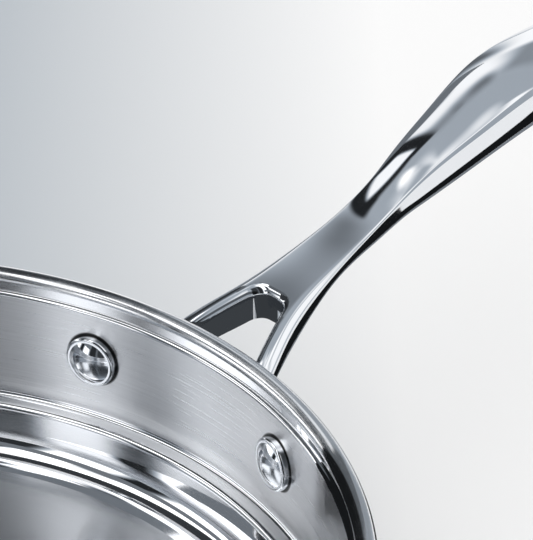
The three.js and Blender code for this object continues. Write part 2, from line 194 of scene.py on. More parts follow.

# Screens near the pan that show in reflections alone: name, outline, thickness, brightness. Three lie on the
# floor under the handle, painted shade standing for the handle's shadow there, seen in its underside. Two
# stand beside the fork and two across the pan from it, and shade the rim. One hangs over the pan and shades
# its floor, one lies above the handle's far side, one stands before the flange.
SCREENS = (
    ("screen_inner", ((0.14, -0.03, 0.002), (0.128, -0.06, 0.002), (0.09, -0.11, 0.002),
                      (0.11, -0.16, 0.002), (0.225, -0.12, 0.002), (0.225, -0.068, 0.002),
                      (0.20, -0.062, 0.002), (0.20, -0.03, 0.002)), (0, 0, 0.001), 0.06),
    ("screen_below", ((0.20, -0.063, 0.002), (0.262, -0.078, 0.002), (0.335, -0.099, 0.002),
                      (0.38, -0.112, 0.002), (0.38, -0.016, 0.002), (0.20, -0.011, 0.002)),
     (0, 0, 0.001), 0.01),
    ("screen_behind", ((0.20, -0.01, 0.002), (0.38, -0.015, 0.002), (0.38, 0.1, 0.002), (0.20, 0.1, 0.002)),
     (0, 0, 0.001), 0.25),
    ("screen_beside", ((0.06, -0.05, 0.035), (0.118, -0.05, 0.035), (0.12, -0.05, 0.07),
                       (0.12, -0.05, 0.105), (0.06, -0.05, 0.105)), (0, 0.001, 0), 0.01),
    ("screen_fork", ((0.12, -0.05, 0.07), (0.15, -0.05, 0.075), (0.15, -0.05, 0.105), (0.12, -0.05, 0.105)),
     (0, 0.001, 0), 0.12),
    ("screen_rim", ((0.085, 0.08, 0.066), (0.13, 0.08, 0.066), (0.15, 0.08, 0.088), (0.19, 0.08, 0.088),
                    (0.19, 0.08, 0.135), (0.085, 0.08, 0.135)), (0, 0.001, 0), 0.045),
    ("screen_bead", ((0.085, 0.08, 0.136), (0.19, 0.08, 0.136), (0.19, 0.08, 0.175), (0.085, 0.08, 0.175)),
     (0, 0.001, 0), 0.14),
    ("screen_across", ((-0.045, 0.035, 0.10), (0.055, 0.163, 0.10), (0.055, 0.163, 0.15),
                       (-0.045, 0.035, 0.15)), (0.001, 0, 0), 0.2),
    ("screen_above", ((0.20, 0.13, 0.15), (0.33, 0.13, 0.15), (0.33, 0.25, 0.15), (0.20, 0.25, 0.15)),
     (0, 0, 0.001), 0.2),
    ("screen_flange", ((0.1435, -0.012, 0.025), (0.1435, 0.03, 0.025), (0.1435, 0.03, 0.056),
                       (0.1435, -0.012, 0.056)), (0.0005, 0, 0), 0.05),
)


def length(description, default):
    return FloatProperty(description=description, default=default, unit="LENGTH", precision=5)


def angle(description, degrees):
    return FloatProperty(description=description, default=math.radians(degrees), subtype="ANGLE")


def share(description, default):
    return FloatProperty(description=description, default=default, min=0, max=1, subtype="FACTOR")


def colour(description, default):
    return FloatVectorProperty(description=description, default=default, size=3, min=0, max=1,
                               subtype="COLOR")


def glow(description, default):
    return FloatProperty(description=description, default=default, min=0)


class PAN_shell_sizes(PropertyGroup):
    """Sizes of the drawn shell and of the cap under it."""

    rim_radius: length("Radius over the curled rim", 0.140)
    sheet: length("Thickness of the drawn sheet", 0.0009)
    depth: length("From the floor to the middle of the rim's bead", 0.0505)
    bead_radius: length("Outer radius of the curl", 0.0028)
    curl_gap: length("Gap between the end of the curl and the wall", 0.0005)
    seat_drop: length("The lid seat's drop below the middle of the bead", 0.0032)
    seat_width: length("Width of the lid seat", 0.0011)
    seat_rise: length("Rise of the lid seat towards the bead", 0.0005)
    seat_fillet: length("Smallest radius at the lid seat", 0.0004)
    wall_taper: angle("Lean of the upper wall", 2.1)
    step_height: length("The step's height above the floor", 0.0145)
    step_width: length("Width of the step", 0.0053)
    step_edge: length("Radius of the step's edge on the underside", 0.0009)
    step_crease: length("Radius of the crease behind the step", 0.0014)
    lower_taper: angle("Lean of the wall below the step", 2.5)
    floor_fillet: length("Radius round the floor", 0.007)
    spun_radius: length("Radius out to which the floor is spun to a satin", 0.117)
    cap_sheet: length("Thickness of the base cap", 0.0008)
    cap_corner: length("Radius round the base cap", 0.0035)


class PAN_handle_sizes(PropertyGroup):
    """Sizes of the cast handle that aren't in its sections."""

    flange_thickness: length("Thickness of the flange", 0.004)
    flange_half_height: length("Half the height of the flange", 0.012)
    flange_edge: length("Radius of the flange's outer edge", 0.0014)
    flange_gap: length("Gap to the wall", 0.0003)
    reach: length("The handle's length beyond the rim", 0.186)
    end_round: length("Length over which the plan closes at the end", 0.0135)
    end_nose: length("Length over which the thickness closes at the end", 0.005)
    fork_angle: angle("Angle between each arm's inner side and the handle", 19.5)
    fork_reach: length("Distance of the fork's end beyond the rim", 0.0228)
    fork_radius: length("Radius of the fork's end at its corners", 0.0052)
    fork_flat: length("Half the distance between the centres of those corners", 0.0012)
    lip_depth: length("Depth of the rounded lip of the fork", 0.003)
    lip_reach: length("Reach of the lip beyond the fork's end", 0.0019)
    lip_angle: angle("Angle between the lip's outline and the handle", 18)
    lip_radius: length("Radius of the lip's outline at its corners", 0.0056)
    lip_flat: length("Half the distance between the centres of those corners", 0.0027)
    hole_inset: length("The hanging slot's distance from the end", 0.022)
    hole_length: length("Length of the hanging slot", 0.020)
    hole_half_width: length("Half the width of the hanging slot", 0.0045)
    hole_flare: length("Radius of the slot's rounded rims", 0.0014)


class PAN_rivet_sizes(PropertyGroup):
    """Sizes and places of the two rivets."""

    spacing: length("Distance between the rivets", 0.070)
    drop: length("The rivets' depth below the middle of the bead", 0.0175)
    head_radius: length("Radius of the head", 0.0075)
    head_edge: length("Thickness of the head's rim", 0.0022)
    ring: length("Width of the flat ring round the dome", 0.0005)
    head_dome: length("Rise of the head", 0.0019)
    shank_radius: length("Radius of the shank", 0.0032)
    shank_clearance: length("Clearance round the shank", 0.0003)
    tail_radius: length("Radius of the upset tail", 0.0056)
    tail_edge: length("Thickness of the tail's rim", 0.0008)
    tail_dome: length("Rise of the tail", 0.0009)
    rim_round: length("Radius that softens the rims of the head and the tail", 0.0008)
    seat_gap: length("Gap under the head and the tail", 0.00005)


class PAN_finishes(PropertyGroup):
    """Colours and gloss of the steel and the aluminium."""

    steel: colour("Colour of the shell's steel", (0.94, 0.95, 0.97))
    # The floor's steel is painted darker than the wall's steel of the same sheet, a painted shade; its spun
    # satin is its roughness and lines
    spun: colour("Colour of the shell's floor, turned to a deeper satin", (0.72, 0.74, 0.77))
    casting: colour("Colour of the polished handle and rivets", (0.84, 0.86, 0.89))
    cap: colour("Colour of the base cap's steel", (0.68, 0.69, 0.71))
    aluminium: colour("Colour of the heat spreader", (0.70, 0.71, 0.73))
    wall_roughness: share("Roughness of the brushed wall", 0.31)
    floor_roughness: share("Roughness of the spun floor", 0.19)
    bead_roughness: share("Roughness of the curled rim's bead", 0.17)
    mirror_roughness: share("Roughness of polished steel", 0.04)


class PAN_stage_settings(PropertyGroup):
    """The camera, the floor and the light."""

    target: FloatVectorProperty(description="Point in the middle of the picture",
                                default=(0.173501, 0.012795, 0.0573), size=3, subtype="XYZ", unit="LENGTH")
    azimuth: angle("The camera's direction from the target, from +X towards +Y", 224.751)
    elevation: angle("The camera's height angle", 33.34)
    roll: angle("The camera's turn about its own axis", -0.76)
    distance: length("From the target to the camera", 1.1)
    lens: FloatProperty(description="Focal length of the camera in millimetres", default=266.64)
    floor_radius: length("Radius of the floor", 7.0)
    # The floor's colour on the left is painted shade, darker where less light falls on the pale floor
    floor_shaded: colour("Colour of the floor on the left", (0.50, 0.54, 0.58))
    floor_pale: colour("Colour of the floor on the right", (0.98, 0.98, 0.98))
    light_tint: colour("Colour of the light", (1.0, 1.0, 1.0))
    shade_tint: colour("Colour of the greys in reflections", (0.83, 0.91, 1.0))
    even_light: glow("Brightness of the light on everything", 1.0)
    sky_low: glow("Brightness of the mirrored sky at the horizon", 0.6)
    sky_high: glow("Brightness of the mirrored sky overhead", 0.48)


def joined(*coordinates):
    """Points from arrays of their coordinates."""
    return np.stack(coordinates, axis=-1)


def unit(directions):
    return directions / np.linalg.norm(directions, axis=-1, keepdims=True)


def left_of(directions):
    return joined(-directions[..., 1], directions[..., 0])


def pan_levels():
    """Heights and radii that follow from the shell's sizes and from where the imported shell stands."""
    size = bpy.context.scene.pan_shell
    level = SimpleNamespace(underside=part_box("pan_shell")[0].z)
    level.floor = level.underside + size.sheet
    level.bead = level.floor + size.depth
    level.seat = level.bead - size.seat_drop
    level.step = level.floor + size.step_height
    level.bead_inner = size.rim_radius - 2 * size.bead_radius
    level.wall_top = level.bead_inner - size.seat_width
    level.crease = level.wall_top - (level.seat - level.step) * math.tan(size.wall_taper)
    level.step_edge = level.crease - size.step_width
    level.foot = level.step_edge - size.step_height * math.tan(size.lower_taper)
    return level


def wall_radius(height):
    """The upper wall's inner radius at a height, a cone that leans out by the wall's taper."""
    level = pan_levels()
    return level.wall_top - (level.seat - height) * math.tan(bpy.context.scene.pan_shell.wall_taper)


def outer_wall_radius(height):
    size = bpy.context.scene.pan_shell
    return wall_radius(height) + size.sheet / math.cos(size.wall_taper)


def arc_along(start, heading, radius, turn):
    """An arc that leaves a point along a heading and turns left by an angle, or right if it is negative.

    Each point is the arc's centre minus the radius times the vector to the centre, turned with the arc.
    """
    side = math.copysign(1, turn)
    to_centre = side * left_of(heading)
    turns = np.linspace(0, turn, max(ARC_POINTS_LEAST, math.ceil(abs(turn) / ARC_STEP) + 1))
    spokes = np.cos(turns)[:, None] * to_centre + np.sin(turns)[:, None] * left_of(to_centre)
    return start + radius * (to_centre - spokes), side * spokes


def straight_between(start, stop):
    """Points strictly between two ends: even steps, and one close to each end to keep the shading crisp."""
    reach = np.linalg.norm(stop - start)
    near = min(SUPPORT, reach / 4)
    along = np.linspace(near, reach - near, math.ceil(reach / STRAIGHT_STEP) + 2) / reach
    points = start + along[:, None] * (stop - start)
    normals = np.broadcast_to(left_of(unit(stop - start)), points.shape)
    return points, normals


def rounded_path(corners):
    """A path through corners of radius, height and fillet, as points and normals on the left of travel.

    Straight stretches run from fillet to fillet. Each fillet is an arc that touches both of its neighbours.
    """
    places = np.array([corner[:2] for corner in corners], float)
    headings = unit(np.diff(places, axis=0))
    runs = [(places[:1], left_of(headings[:1]))]
    for i, heading in enumerate(headings):
        last = i == len(headings) - 1
        after = heading if last else headings[i + 1]
        turn = math.atan2(heading[0] * after[1] - heading[1] * after[0], heading @ after)
        fillet = 0 if last else corners[i + 1][2]
        end = places[i + 1] - heading * fillet * math.tan(abs(turn) / 2)
        runs.append(straight_between(runs[-1][0][-1], end))
        runs.append((end[None], left_of(heading)[None]) if last else arc_along(end, heading, fillet, turn))
    return np.vstack([run[0] for run in runs]), np.vstack([run[1] for run in runs])


def turned(profile, steps=TURN_STEPS):
    """A surface of revolution.

    At every turn, x and y are the profile's radius times the turn's cosine and sine.
    """
    turns = np.linspace(0, 2 * math.pi, steps, endpoint=False)
    radius, height = profile[:, 0, None], profile[:, 1, None]
    return joined(radius * np.cos(turns), radius * np.sin(turns), height + 0 * turns)


def grid_object(name, points, materials=(), zones=None):
    """A closed object from a grid of points whose rows close on themselves.

    Coincident points are merged and faces turned outwards. zones gives each row of faces its material.
    """
    rows, columns = points.shape[:2]
    index = np.arange(rows * columns).reshape(rows, columns)
    index = np.hstack([index, index[:, :1]])
    quads = joined(index[:-1, :-1], index[:-1, 1:], index[1:, 1:], index[1:, :-1])
    mesh = bpy.data.meshes.new(name)
    mesh.from_pydata(points.reshape(-1, 3).tolist(), [], quads.reshape(-1, 4).tolist())
    for material in materials:
        mesh.materials.append(material)
    if zones is not None:
        mesh.polygons.foreach_set("material_index", np.repeat(zones, columns).astype(np.int32))
    work = bmesh.new()
    work.from_mesh(mesh)
    bmesh.ops.remove_doubles(work, verts=work.verts, dist=MERGE)
    bmesh.ops.recalc_face_normals(work, faces=work.faces)
    work.to_mesh(mesh)
    work.free()
    piece = bpy.data.objects.new(name, mesh)
    bpy.context.scene.collection.objects.link(piece)
    return piece


def carve(piece, cuts):
    """Cuts and joins closed objects, given in order as operation and object, and keeps the finished mesh."""
    for operation, tool in cuts:
        step = piece.modifiers.new(operation, "BOOLEAN")
        step.operation = operation
        step.solver = "MANIFOLD"
        step.object = tool
    shaped = piece.evaluated_get(bpy.context.evaluated_depsgraph_get())
    rough = piece.data
    finished = bpy.data.meshes.new_from_object(shaped)
    piece.modifiers.clear()
    piece.data = finished
    finished.name = piece.name
    bpy.data.meshes.remove(rough)
    for _, tool in cuts:
        bpy.data.meshes.remove(tool.data)


def finish_piece(piece, node):
    """Smooth shading, and the piece's place in the frame. It must fill its node's box."""
    mesh = piece.data
    if not mesh.polygons:
        raise RuntimeError(f"{piece.name} came out empty")
    mesh.shade_smooth()
    mesh.set_sharp_from_angle(angle=SMOOTH_BELOW)
    corners = np.empty(3 * len(mesh.vertices))
    mesh.vertices.foreach_get("co", corners)
    corners = corners.reshape(-1, 3)
    strays = np.abs(np.array([corners.min(0), corners.max(0)]) - np.array(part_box(node))).max()
    if not strays <= BOX_MARGIN:
        raise RuntimeError(f"{piece.name} strays {strays / MM:.2f} mm from {node}")
    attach(piece, "root")
    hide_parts(node)


def set_inputs(node, inputs):
    """Gives each named input of a node a value, or a socket to link from."""
    for key, value in inputs.items():
        if isinstance(value, bpy.types.NodeSocket):
            node.id_data.links.new(value, node.inputs[key])
        else:
            node.inputs[key].default_value = value


def add_node(tree, kind, inputs=None, **settings):
    node = tree.nodes.new(kind)
    for name, value in settings.items():
        setattr(node, name, value)
    set_inputs(node, inputs or {})
    return node


def maths(tree, operation, *values):
    return add_node(tree, "ShaderNodeMath", dict(enumerate(values)), operation=operation).outputs[0]


def vectors(tree, operation, *values):
    node = add_node(tree, "ShaderNodeVectorMath", dict(enumerate(values)), operation=operation)
    return node.outputs["Value"] if operation in {"LENGTH", "DOT_PRODUCT"} else node.outputs["Vector"]


def spread(tree, value, low, high, to_low, to_high):
    """Maps a range of values onto another one."""
    inputs = {"Value": value, "From Min": low, "From Max": high, "To Min": to_low, "To Max": to_high}
    return add_node(tree, "ShaderNodeMapRange", inputs).outputs["Result"]


def soft_edge(tree, distance, half, soft):
    """1 well within a half width, falling smoothly to 0 beyond it."""
    inputs = {"Value": distance, "From Min": half + soft, "From Max": half - soft}
    return add_node(tree, "ShaderNodeMapRange", inputs, interpolation_type="SMOOTHSTEP").outputs["Result"]


def between(tree, factor, first, second):
    """A value between two others, by a factor from 0 to 1."""
    return add_node(tree, "ShaderNodeMix", {"Factor": factor, "A": first, "B": second}).outputs[0]


def mixed_colours(tree, factor, first, second):
    """A colour between two others, by a factor from 0 to 1."""
    inputs = {"Factor": factor, MIX_FIRST: (*first, 1), MIX_SECOND: (*second, 1)}
    return add_node(tree, "ShaderNodeMix", inputs, data_type="RGBA").outputs[MIX_RESULT]


def scaled(tree, vector, by):
    return add_node(tree, "ShaderNodeVectorMath", {0: vector, "Scale": by}, operation="SCALE").outputs[0]


def noise(tree, place, scale, detail, roughness=0.5):
    """Smooth noise from 0 to 1."""
    inputs = {"Vector": place, "Scale": scale, "Detail": detail, "Roughness": roughness}
    return add_node(tree, "ShaderNodeTexNoise", inputs).outputs["Fac"]


def new_material(name, inputs):
    """A material with values on its shader's own sockets, together with its tree and its shader."""
    material = bpy.data.materials.new(name)
    material.use_nodes = True
    tree = material.node_tree
    shader = tree.nodes["Principled BSDF"]
    set_inputs(shader, inputs)
    return material, tree, shader


def round_the_axis(tree, across, around):
    """Coordinates that run slowly round the pan's axis and quickly out from it and up it.

    The direction from the axis is scaled by around, the distance from the axis plus the height by across.
    """
    place = add_node(tree, "ShaderNodeTexCoord").outputs["Object"]
    level = vectors(tree, "MULTIPLY", place, (1, 1, 0))
    outward = vectors(tree, "NORMALIZE", level)
    radius = vectors(tree, "LENGTH", level)
    height = add_node(tree, "ShaderNodeSeparateXYZ", {0: place}).outputs["Z"]
    run = maths(tree, "MULTIPLY", maths(tree, "ADD", radius, height), across)
    lift = add_node(tree, "ShaderNodeCombineXYZ", {"Z": run}).outputs[0]
    rings = vectors(tree, "ADD", scaled(tree, outward, around), lift)
    return rings, vectors(tree, "ADD", outward, (0, 0, 1)), place


def from_rivet(tree, place):
    """The distance from the middle of the nearer rivet, where it meets the wall's inner face."""
    middle = rivet_place(1)[0].translation
    mirrored = vectors(tree, "MULTIPLY", vectors(tree, "ABSOLUTE", place), (0, 1, 0))
    both = vectors(tree, "ADD", vectors(tree, "MULTIPLY", place, (1, 0, 1)), mirrored)
    return vectors(tree, "LENGTH", vectors(tree, "SUBTRACT", both, tuple(middle)))


def brushed_steel(name, tint, roughness, lines, depth, rivet_shade=0):
    """Steel brushed round the axis: fine rings of uneven roughness, and a sheen that spreads across them.

    With a rivet shade, the steel darkens in a ring of that width where the rivets press on it: painted shade
    standing for their contact shadow.
    """
    inputs = {"Base Color": (*tint, 1), "Metallic": 1, "Anisotropic": BRUSH_SPREAD}
    material, tree, shader = new_material(name, inputs)
    rings, across_the_lines, place = round_the_axis(tree, lines, BRUSH_AROUND)
    fine = noise(tree, rings, scale=1, detail=4, roughness=0.7)
    cloud = noise(tree, place, scale=CLOUD_SCALE, detail=3)
    uneven = maths(tree, "ADD", fine, maths(tree, "MULTIPLY", cloud, CLOUD_SHARE))
    rough = [part * roughness for part in BRUSH_ROUGHNESS]
    ridges = add_node(tree, "ShaderNodeBump", {"Strength": depth, "Distance": RIDGE_HEIGHT, "Height": fine})
    shade = spread(tree, fine, *LINE_NOISE, *LINE_TONE)
    # Painted shade: a dark ring round each rivet's head stands for its contact shadow on the wall
    if rivet_shade:
        edge = bpy.context.scene.pan_rivets.head_radius
        clear = spread(tree, from_rivet(tree, place), edge + rivet_shade / 2, edge + rivet_shade, RIVET_SHADE_LEFT, 1)
        shade = maths(tree, "MULTIPLY", shade, clear)
    set_inputs(shader, {
        "Base Color": scaled(tree, tint, shade),
        "Roughness": spread(tree, uneven, *BRUSH_NOISE, *rough),
        "Tangent": across_the_lines,
        "Normal": ridges.outputs[0],
    })
    return material


def mirror_steel(name, tint, roughness):
    """Polished steel: a clear mirror with faint polishing haze."""
    material, tree, shader = new_material(name, {"Base Color": (*tint, 1), "Metallic": 1})
    place = add_node(tree, "ShaderNodeTexCoord").outputs["Object"]
    haze = noise(tree, place, scale=HAZE_SCALE, detail=5, roughness=0.65)
    rough = [part * roughness for part in HAZE_ROUGHNESS]
    shade = spread(tree, haze, *HAZE_NOISE, *HAZE_TONE)
    set_inputs(shader, {
        "Base Color": scaled(tree, tint, shade),
        "Roughness": spread(tree, haze, *HAZE_NOISE, *rough),
    })
    return material


def rivet_place(side):
    """The rivet's frame: X leaves the pan square to the wall, from the wall's inner face."""
    rivet = bpy.context.scene.pan_rivets
    height = pan_levels().bead - rivet.drop
    radius = wall_radius(height)
    azimuth = side * math.asin(rivet.spacing / 2 / radius)
    lean = Matrix.Rotation(bpy.context.scene.pan_shell.wall_taper, 4, "Y")
    return Matrix.Rotation(azimuth, 4, "Z") @ Matrix.Translation((radius, 0, height)) @ lean, radius


def on_rivet_axis(grid):
    """Lays a surface turned about Z along X instead."""
    return grid[..., [2, 0, 1]]


def bore_cutter(side):
    """A plain round bar for the rivet's bore, some flange thicknesses long to each side of the wall."""
    rivet = bpy.context.scene.pan_rivets
    radius = rivet.shank_radius + rivet.shank_clearance
    reach = BORE_REACH * bpy.context.scene.pan_handle.flange_thickness
    outline = np.array([(0, -reach), (radius, -reach), (radius, reach), (0, reach)])
    cutter = grid_object("rivet_bore_cutter", on_rivet_axis(turned(outline, RIVET_STEPS)))
    cutter.data.transform(rivet_place(side)[0])
    return cutter


class PAN_OT_shell(Operator):
    """Make the drawn shell, with its stepped wall and curled rim"""

    bl_idname = "pan.make_shell"
    bl_label = "Shell"

    def execute(self, context):
        size, finish, level = context.scene.pan_shell, context.scene.pan_finishes, pan_levels()
        wall, wall_normals = rounded_path([
            (0, level.floor, 0),
            (level.foot, level.floor, size.floor_fillet),
            (level.step_edge, level.step, size.sheet + size.step_edge),
            (level.crease, level.step, size.step_crease),
            (level.wall_top, level.seat, size.sheet + size.seat_fillet),
            (level.bead_inner, level.seat + size.seat_rise, size.seat_fillet),
            (level.bead_inner, level.bead, 0),
        ])
        curl = math.pi + math.acos((size.sheet + size.curl_gap) / size.bead_radius - 1)
        bead, bead_normals = arc_along(wall[-1], np.array([0.0, 1.0]), size.bead_radius, -curl)
        inside = np.vstack([wall, bead[1:]])
        outside = inside - size.sheet * np.vstack([wall_normals, bead_normals[1:]])
        middle = (inside[:-1] + inside[1:]) / 2
        spun = middle[:, 0] < size.spun_radius
        above_the_step = (middle[:, 0] > level.step_edge) & (middle[:, 1] > level.step + size.step_crease)
        below_the_rim = middle[:, 1] < level.seat - size.sheet
        brushed = above_the_step & below_the_rim
        zones_inside = np.select([spun, brushed], [SPUN, BRUSHED], POLISHED)
        zones_inside[len(wall):] = BEAD
        zones_outside = np.where(below_the_rim, SATIN, POLISHED)
        zones = np.concatenate([zones_inside, [POLISHED], zones_outside[::-1]])
        materials = [
            # The floor takes the darker spun colour, a painted shade on the same steel
            brushed_steel("floor_spun_shaded_steel", finish.spun, finish.floor_roughness, lines=2200, depth=0.12),
            # The wall carries the painted shade ring round the rivets
            brushed_steel("wall_brushed_steel", finish.steel, finish.wall_roughness, lines=2600, depth=0.012,
                          rivet_shade=RIVET_SHADE_WIDTH),
            mirror_steel("rim_polished_steel", finish.steel, finish.mirror_roughness),
            brushed_steel("outside_satin_steel", finish.steel, finish.wall_roughness, lines=2600, depth=0.05),
            mirror_steel("bead_satin_steel", finish.steel, finish.bead_roughness),
        ]
        shell = grid_object("shell_drawn", turned(np.vstack([inside, outside[::-1]])), materials, zones)
        carve(shell, [("DIFFERENCE", bore_cutter(side)) for side in (1, -1)])
        finish_piece(shell, "pan_shell")
        return {"FINISHED"}


class PAN_OT_base(Operator):
    """Make the cap under the pan, and give the heat spreader inside it its finish"""

    bl_idname = "pan.make_base"
    bl_label = "Base"

    def execute(self, context):
        size, finish = context.scene.pan_shell, context.scene.pan_finishes
        low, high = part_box("base_cap")
        path, normals = rounded_path([(0, low.z, 0), (high.x, low.z, size.cap_corner), (high.x, high.z, 0)])
        cup = np.vstack([path, (path + size.cap_sheet * normals)[::-1]])
        steel = brushed_steel("base_turned_steel", finish.cap, finish.floor_roughness, lines=900, depth=0.25)
        cap = grid_object("base_cap_turned", turned(cup), [steel])
        finish_piece(cap, "base_cap")
        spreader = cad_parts["heat_spreader"]
        plate = brushed_steel("spreader_aluminium", finish.aluminium, finish.floor_roughness,
                              lines=700, depth=0.2)
        spreader.data.materials.clear()
        spreader.data.materials.append(plate)
        return {"FINISHED"}


class PAN_OT_rivets(Operator):
    """Make the two domed rivets"""

    bl_idname = "pan.make_rivets"
    bl_label = "Rivets"

    def execute(self, context):
        rivet, finish = context.scene.pan_rivets, context.scene.pan_finishes
        steel = mirror_steel("rivet_polished_steel", finish.casting, finish.mirror_roughness)
        for side, node in ((1, "rivet_left"), (-1, "rivet_right")):
            place, radius = rivet_place(side)
            surface = turned(self.profile(rivet, radius), RIVET_STEPS)
            piece = grid_object(f"{node}_domed", on_rivet_axis(surface), [steel])
            piece.data.transform(place)
            finish_piece(piece, node)
        return {"FINISHED"}

    def profile(self, rivet, radius):
        """The rivet's outline as radius and place along its axis, from the head's crown to the tail's."""
        size, handle = bpy.context.scene.pan_shell, bpy.context.scene.pan_handle
        sag = radius - math.sqrt(radius ** 2 - rivet.head_radius ** 2)
        head_seat = -(rivet.seat_gap + sag)
        tail_seat = size.sheet + handle.flange_gap + handle.flange_thickness + rivet.seat_gap
        head = dome(rivet.head_radius, rivet.head_dome, rivet.rim_round, rivet.ring)
        tail_round = min(rivet.rim_round, rivet.tail_edge / 2)
        tail = dome(rivet.tail_radius, rivet.tail_dome, tail_round, rivet.ring)
        head = joined(head[:, 0], head_seat - rivet.head_edge - head[:, 1])
        tail = joined(tail[:, 0], tail_seat + rivet.tail_edge + tail[:, 1])
        ends = np.array([(rivet.head_radius, head_seat), (rivet.shank_radius, head_seat),
                         (rivet.shank_radius, tail_seat), (rivet.tail_radius, tail_seat)])
        stretches = [straight_between(head[-1], ends[0])[0]]
        for start, stop in zip(ends[:-1], ends[1:]):
            stretches += [start[None], straight_between(start, stop)[0]]
        stretches += [ends[-1:], straight_between(ends[-1], tail[-1])[0]]
        return np.vstack([head, *stretches, tail[::-1]])


def dome(radius, rise, soft, ring):
    """A shallow dome as radius and rise, from its crown out: a sphere's cap, a flat ring and a round edge."""
    cap = radius - soft - ring
    sphere = (cap ** 2 + rise ** 2) / (2 * rise)
    turns = np.linspace(0, math.asin(cap / sphere), DOME_POINTS)
    crown = joined(sphere * np.sin(turns), rise - sphere * (1 - np.cos(turns)))
    flat = straight_between(crown[-1], np.array([radius - soft, 0.0]))[0]
    turns = np.linspace(0, math.pi / 2, CORNER_POINTS)
    edge = joined(radius - soft + soft * np.sin(turns), soft * (np.cos(turns) - 1))
    return np.vstack([crown, flat, edge])


def smooth_curve(knots, values, at):
    """A natural cubic spline through the values at the knots, read at other places."""
    gaps = np.diff(knots)
    inner = np.arange(1, len(knots) - 1)
    matrix = np.eye(len(knots))
    matrix[inner, inner - 1] = gaps[:-1]
    matrix[inner, inner] = 2 * (gaps[:-1] + gaps[1:])
    matrix[inner, inner + 1] = gaps[1:]
    bends = np.zeros_like(values)
    bends[1:-1] = 6 * np.diff(np.diff(values, axis=0) / gaps[:, None], axis=0)
    bends = np.linalg.solve(matrix, bends)
    k = np.clip(np.searchsorted(knots, at) - 1, 0, len(gaps) - 1)
    before, after, gap = (at - knots[k])[:, None], (knots[k + 1] - at)[:, None], gaps[k][:, None]
    cubic = (bends[k] * after ** 3 + bends[k + 1] * before ** 3) / (6 * gap)
    return (cubic + (values[k] / gap - bends[k] * gap / 6) * after
            + (values[k + 1] / gap - bends[k + 1] * gap / 6) * before)


def section_sizes(out):
    """The columns of the handle's sections at distances beyond the rim, smoothly between the listed ones."""
    return smooth_curve(HANDLE_SECTIONS[:, 0], HANDLE_SECTIONS[:, 1:], out).T


def sections_over(line):
    """The columns of the handle's sections at points in plan."""
    return section_sizes(line[:, 0] - bpy.context.scene.pan_shell.rim_radius)


def handle_bar():
    """The bar of the handle as rings round it, with a crowned top, upright sides and a round underside.

    The top is a parabola across the width. Each upper edge turns from the top to the side in two equal arcs
    with a flat chamfer between them. Near the end the plan closes on an ellipse and the thickness on a
    blunter nose.
    """
    handle = bpy.context.scene.pan_handle
    start = HANDLE_SECTIONS[0, 0]
    straight = np.arange(start, handle.reach - handle.end_round, HANDLE_STEP)
    turns = np.linspace(0, math.pi / 2, END_STEPS)
    out = np.concatenate([straight, handle.reach - handle.end_round * (1 - np.sin(turns))])
    half, top, depth, crown, under, edge, chamfer = section_sizes(out)[:, :, None]
    left = (handle.reach - out)[:, None]
    narrow = np.sqrt(1 - np.maximum(0, 1 - left / handle.end_round) ** 2)
    thin = np.cbrt(1 - np.maximum(0, 1 - left / handle.end_nose) ** 3)
    top = pan_levels().bead + top - depth * (1 - thin) / 2
    half, depth, crown = half * narrow, depth * thin, crown * narrow * thin
    edge = np.minimum(edge, np.minimum(half, depth) / 2)
    chamfer = np.clip(chamfer, 0, np.minimum(half, depth) / 4)
    under = np.minimum(under, np.minimum(UNDER_SHARE * half, depth - edge - chamfer))
    slope = np.arctan2(2 * crown, half)
    lean = (slope + math.pi / 2) / 2
    flat_y, flat_z = chamfer * np.cos(lean), -chamfer * np.sin(lean)
    crown_end = half - edge * (1 - np.sin(slope)) - flat_y
    wide = np.maximum(half, MERGE)
    across = crown_end * np.linspace(0, 1, TOP_POINTS)
    rise = crown * (1 - (across / wide) ** 2)
    shares = np.linspace(0, 1, EDGE_POINTS)
    first, second = slope + (lean - slope) * shares[1:], lean + (math.pi / 2 - lean) * shares
    centre_y, centre_z = crown_end - edge * np.sin(slope), rise[:, -1:] - edge * np.cos(slope)
    edge_y = np.hstack([centre_y + edge * np.sin(first), centre_y + flat_y + edge * np.sin(second)])
    edge_z = np.hstack([centre_z + edge * np.cos(first), centre_z + flat_z + edge * np.cos(second)])
    side = edge_z[:, -1:] + (under - depth - edge_z[:, -1:]) * np.linspace(0, 1, SIDE_POINTS)[1:-1]
    under_turn = np.linspace(math.pi / 2, math.pi, UNDER_POINTS)
    bottom = (half - under) * np.linspace(1, 0, BOTTOM_POINTS)[1:]
    y = np.hstack([across, edge_y, half + 0 * side, half - under + under * np.sin(under_turn), bottom])
    z = np.hstack([rise, edge_z, side, under - depth + under * np.cos(under_turn), 0 * bottom - depth])
    y, z = np.hstack([y, -y[:, -2:0:-1]]), np.hstack([z, z[:, -2:0:-1]])
    x = bpy.context.scene.pan_shell.rim_radius + out[:, None] + 0 * y
    return with_caps(joined(x, y, top + z))


def with_caps(rings):
    """Closes a stack of rings by one more ring at each end, gathered in the ring's middle."""
    ends = [np.broadcast_to(ring.mean(0), ring.shape)[None] for ring in (rings[0], rings[-1])]
    return np.vstack([ends[0], rings, ends[1]])


